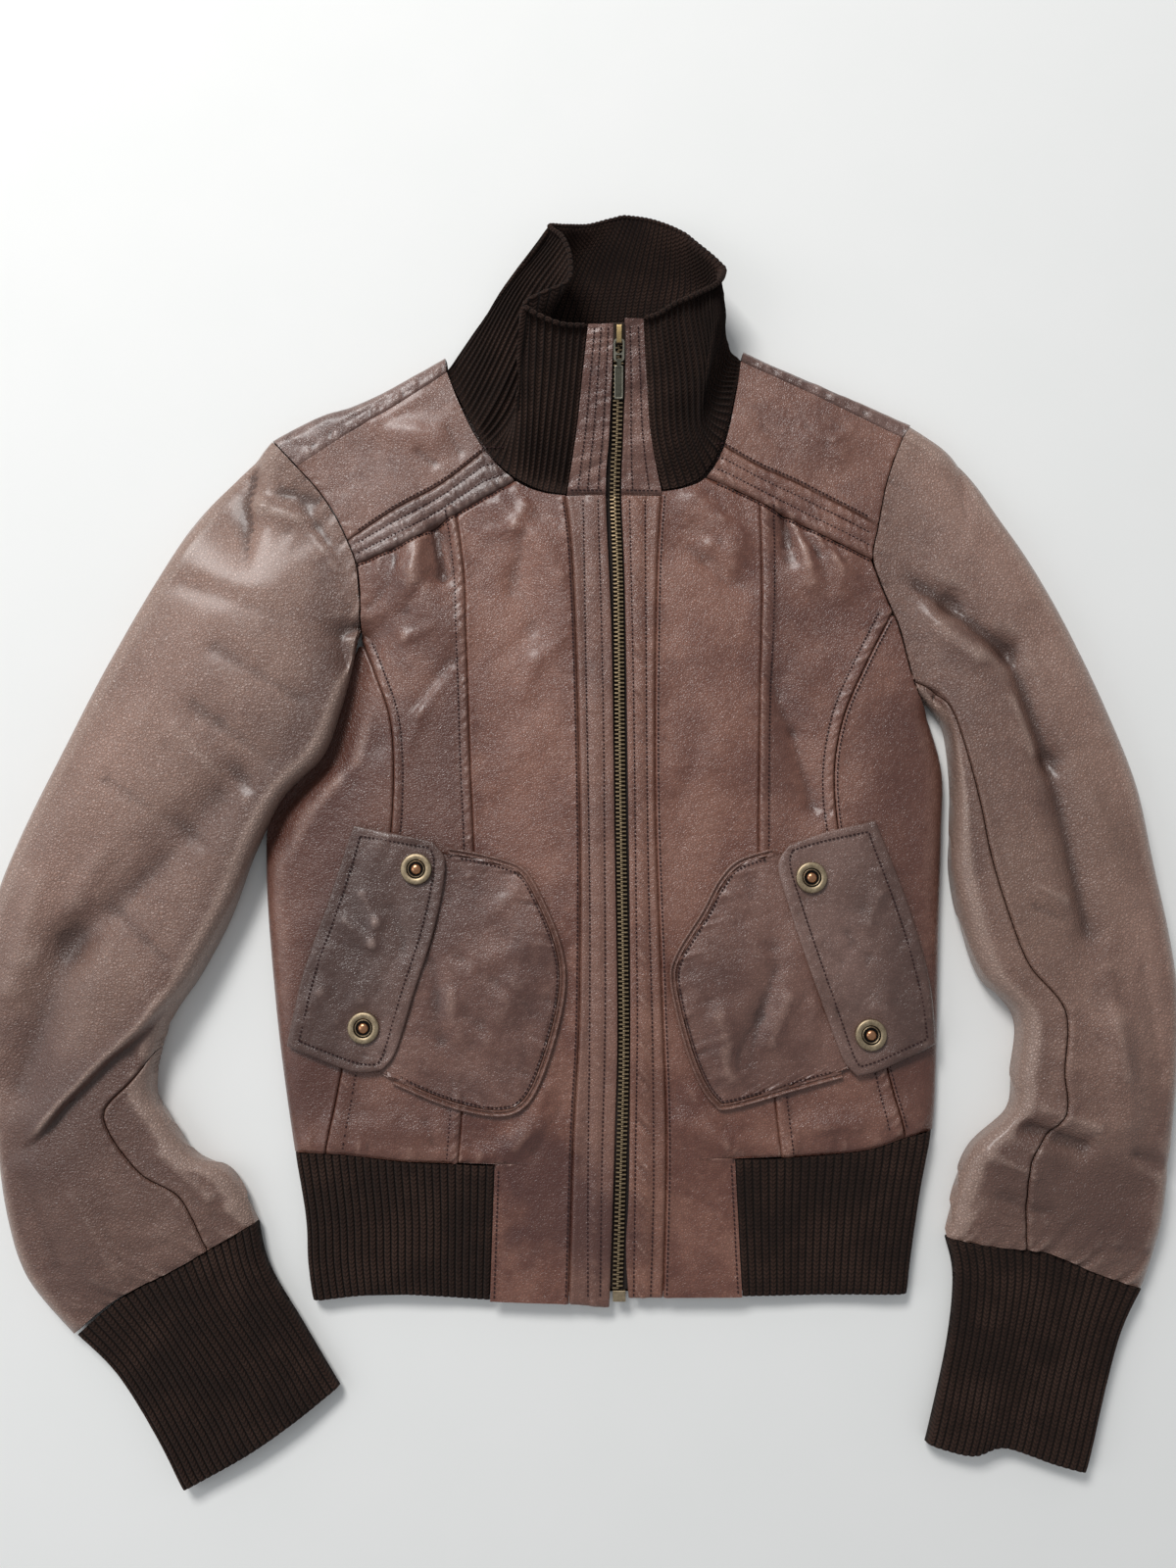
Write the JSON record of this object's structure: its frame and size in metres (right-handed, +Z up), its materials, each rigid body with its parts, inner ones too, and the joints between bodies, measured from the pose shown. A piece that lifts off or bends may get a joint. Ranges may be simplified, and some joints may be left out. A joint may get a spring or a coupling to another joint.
{
  "type": "leather jacket",
  "caption": "Short worn brown leather jacket laid flat on its back, zipped up, with a rib knit collar, cuffs and hem, pockets with snapped flaps and a zip with a pull.",
  "frame": {"origin": "middle of the jacket's footprint, on the surface it lies on", "axes": "+X to the right across the jacket as seen from above, +Y from the hem to the collar, +Z up"},
  "size_m": [0.706, 0.761, 0.047],
  "materials": {
    "leather": "worn semi-gloss, creased",
    "grey_leather": "worn semi-gloss, creased",
    "knit": "matt rib knit",
    "tape": "matt woven tape",
    "brass": "dull antique"
  },
  "bodies": {
    "jacket": {"front_centre_left": "leather", "front_middle_left": "leather", "front_side_left": "leather", "placket_left": "leather", "front_yoke_left": "leather", "sleeve_upper_left": "leather", "sleeve_under_left": "leather", "collar_strip_left": "leather", "pocket_left": "leather", "pocket_piping_left": "leather", "yoke_band_left": "grey_leather", "pocket_flap_left": "grey_leather", "cuff_left": "knit", "zip_tape_left": "tape", "snap_upper_left": "brass", "snap_lower_left": "brass", "front_centre_right": "leather", "front_middle_right": "leather", "front_side_right": "leather", "placket_right": "leather", "front_yoke_right": "leather", "sleeve_upper_right": "leather", "sleeve_under_right": "leather", "collar_strip_right": "leather", "pocket_right": "leather", "pocket_piping_right": "leather", "yoke_band_right": "grey_leather", "pocket_flap_right": "grey_leather", "cuff_right": "knit", "zip_tape_right": "tape", "snap_upper_right": "brass", "snap_lower_right": "brass", "back_panel": "leather", "back_yoke": "grey_leather", "hem_rib": "knit", "collar_rib": "knit", "zip_box": "brass", "zip_slider": "brass"},
    "link": {"zip_link": "brass"},
    "pull_tab": {"zip_pull_tab": "brass"}
  },
  "joints": [
    {"name": "link_swing", "type": "hinge", "parent": "jacket", "child": "link", "pos_m": [0.02364, 0.28895, 0.04169], "axis": [-1, 0, 0], "range_deg": [0, 120]},
    {"name": "tab_swing", "type": "hinge", "parent": "link", "child": "pull_tab", "pos_m": [0.02364, 0.27706, 0.03816], "axis": [-1, 0, 0], "range_deg": [0, 60]}
  ]
}
